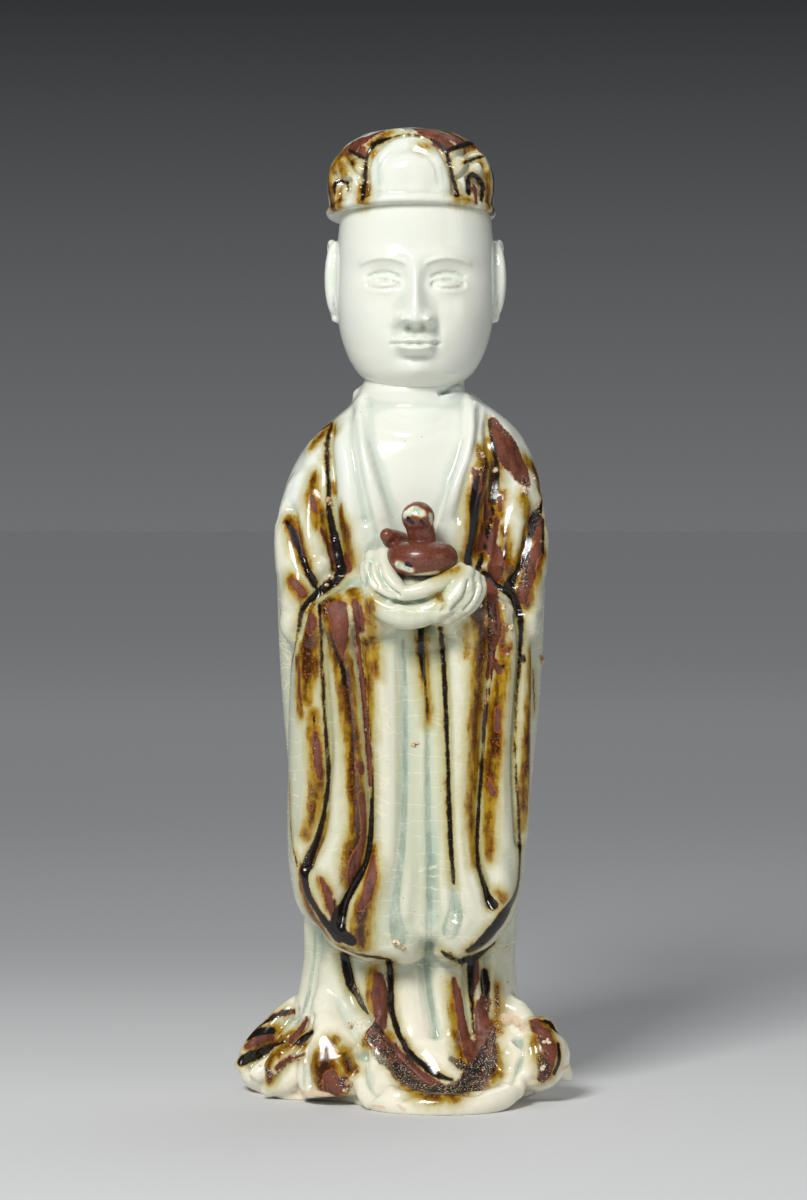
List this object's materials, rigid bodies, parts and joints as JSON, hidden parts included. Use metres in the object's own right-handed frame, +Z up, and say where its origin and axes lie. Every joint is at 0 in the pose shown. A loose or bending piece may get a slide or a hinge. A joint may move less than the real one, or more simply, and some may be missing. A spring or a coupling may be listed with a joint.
{
  "type": "porcelain figurine",
  "caption": "Glazed porcelain figurine of a standing robed attendant in a close cap, holding a coiled snake in cupped hands, hollow with an open foot.",
  "frame": {"origin": "middle of the footprint on the standing plane", "axes": "+Z up from the foot to the cap, -Y towards the front of the figure, +X towards the viewer's right"},
  "size_m": [0.0774, 0.064, 0.2206],
  "materials": {
    "porcelain": "gloss"
  },
  "bodies": {
    "root": {"figurine": "porcelain"}
  },
  "joints": []
}
